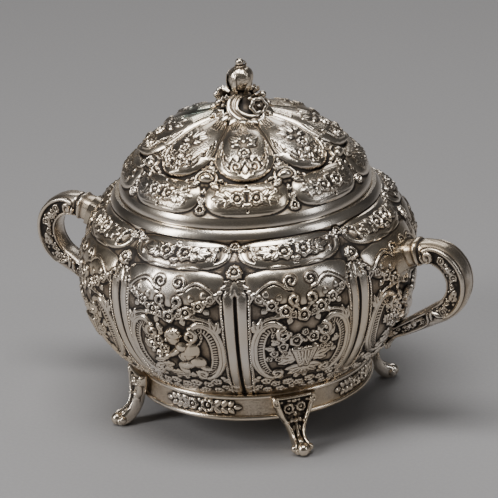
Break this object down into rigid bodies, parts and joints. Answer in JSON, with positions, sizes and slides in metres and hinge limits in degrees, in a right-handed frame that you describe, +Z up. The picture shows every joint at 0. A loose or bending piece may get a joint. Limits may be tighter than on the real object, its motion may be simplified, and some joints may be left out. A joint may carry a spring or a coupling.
{
  "type": "covered sugar bowl",
  "caption": "Round covered sugar bowl with lobed, chased panels, two scroll handles, bracket feet and a loose domed lid with a floral finial.",
  "frame": {"origin": "on the floor under the middle of the bowl, at the middle of the box", "axes": "+Z up, +X towards one handle, the other handle at -X"},
  "size_m": [0.1612, 0.115, 0.1221],
  "materials": {
    "chased_silver": "repousse silver, dark in the recesses",
    "plain_silver": "bright polished silver",
    "cast_silver": "cast and chased silver, softly worn",
    "lid_silver": "repousse silver, dark in the recesses",
    "hidden_metal": "plain silvered brass, inside the lid"
  },
  "bodies": {
    "bowl": {"bowl_body": "chased_silver", "bowl_floor": "plain_silver", "neck_ring": "plain_silver", "foot_band": "chased_silver", "foot_band_upper_wire": "plain_silver", "foot_band_lower_wire": "plain_silver", "foot_back_right": "cast_silver", "foot_back_left": "cast_silver", "foot_front_left": "cast_silver", "foot_front_right": "cast_silver", "handle_right": "cast_silver", "handle_left": "cast_silver", "handle_socket_right": "cast_silver", "handle_socket_left": "cast_silver"},
    "lid": {"lid_dome": "lid_silver", "lid_rim_moulding": "plain_silver", "lid_bezel": "plain_silver", "finial_base": "cast_silver", "finial_bud": "cast_silver", "finial_screw": "hidden_metal", "finial_washer": "hidden_metal", "finial_nut": "hidden_metal"}
  },
  "joints": [
    {"name": "lid_lift", "type": "slide", "parent": "bowl", "child": "lid", "axis": [0, 0, 1], "range_m": [0, 0.06]}
  ]
}
